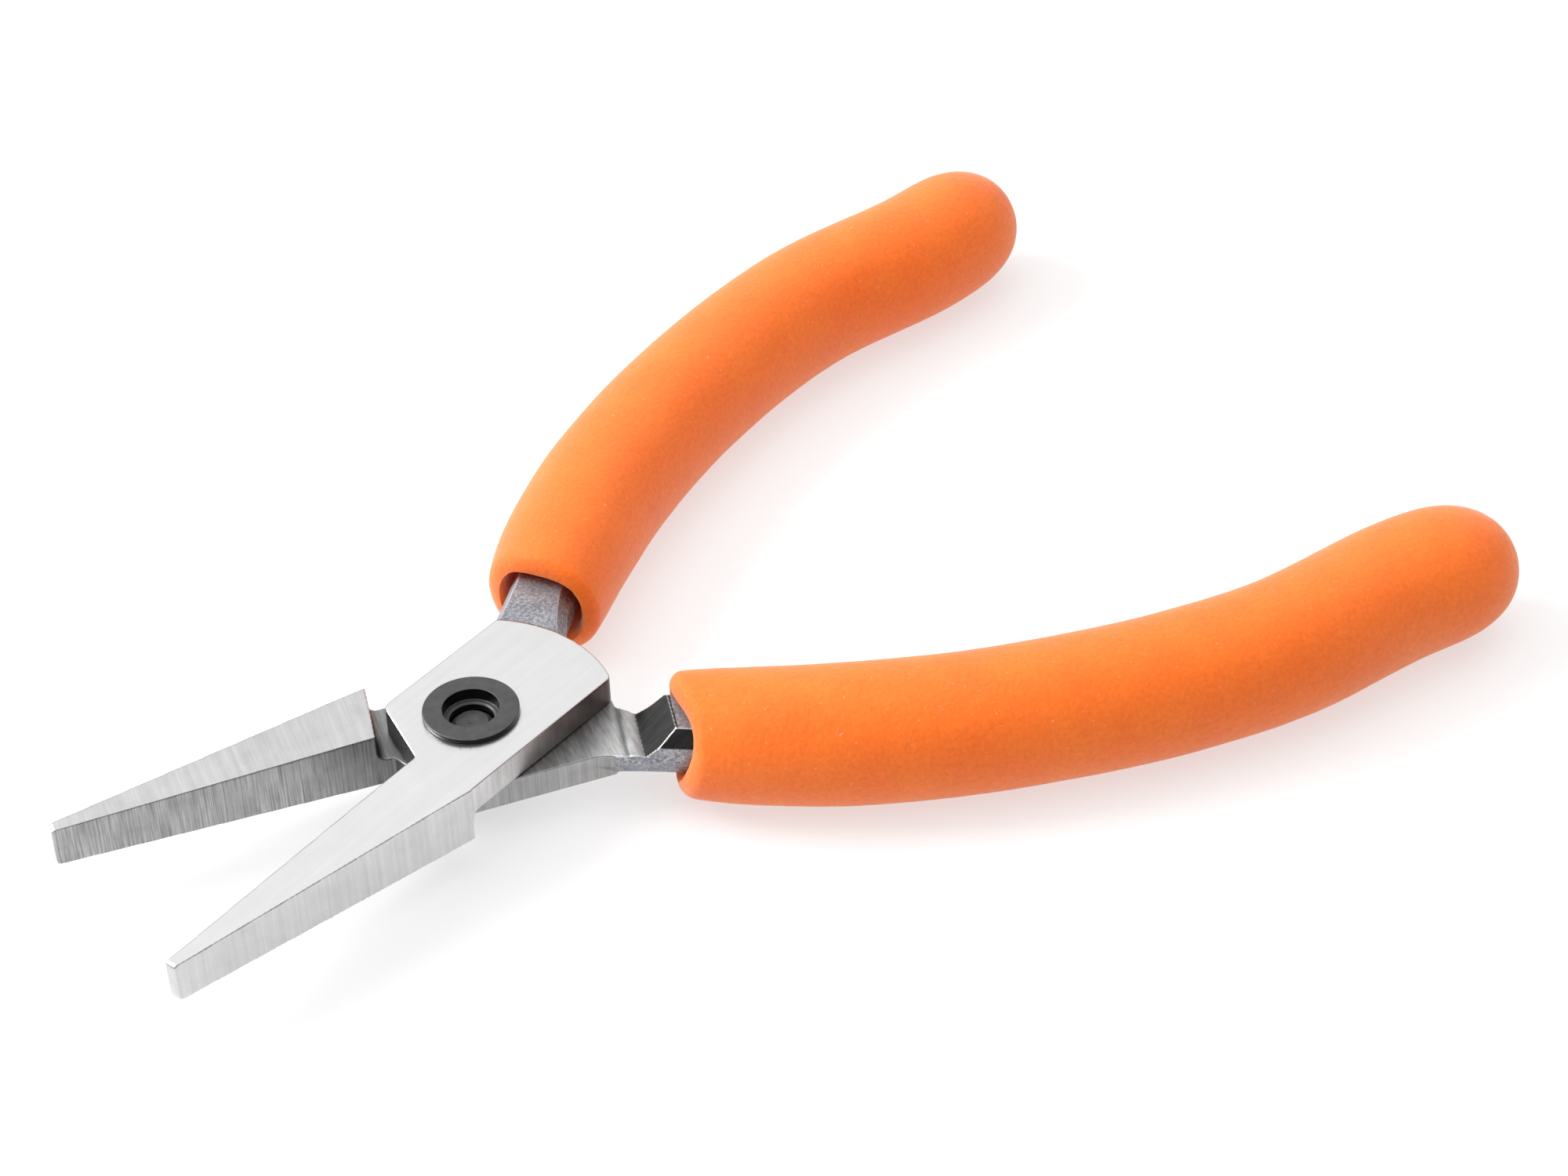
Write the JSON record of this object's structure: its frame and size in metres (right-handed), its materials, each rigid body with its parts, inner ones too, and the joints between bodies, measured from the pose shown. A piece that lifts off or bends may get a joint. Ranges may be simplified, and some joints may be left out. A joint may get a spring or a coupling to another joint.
{
  "type": "flat nose pliers",
  "caption": "Small lap-joint pliers with long flat tapering jaws, a flanged pivot nut and screw, and thick soft curved handle sleeves, shown half open.",
  "frame": {"origin": "on the pivot axis, at the flat outer face of the pivot screw's head, which is the underside of the joint", "axes": "+X from the pivot toward the jaw tips along the opening's centre line, +Z along the pivot axis toward the nut, +Y toward the upper lever's jaw"},
  "size_m": [0.1238, 0.084, 0.0126],
  "materials": {
    "tool_steel": "ground and satin polished, blasted on the tangs",
    "grip_foam": "matte, fine pebbled foam skin, orange",
    "black_oxide": "satin black oxide"
  },
  "bodies": {
    "lower_lever": {"lever_lower": "tool_steel", "grip_lower": "grip_foam", "pivot_nut": "black_oxide", "pivot_screw": "black_oxide"},
    "upper_lever": {"lever_upper": "tool_steel", "grip_upper": "grip_foam"}
  },
  "joints": [
    {"name": "jaw_pivot", "type": "hinge", "parent": "lower_lever", "child": "upper_lever", "pos_m": [0, 0, 0.00321], "axis": [0, 0, 1], "range_deg": [-30.6, 29.4]}
  ]
}
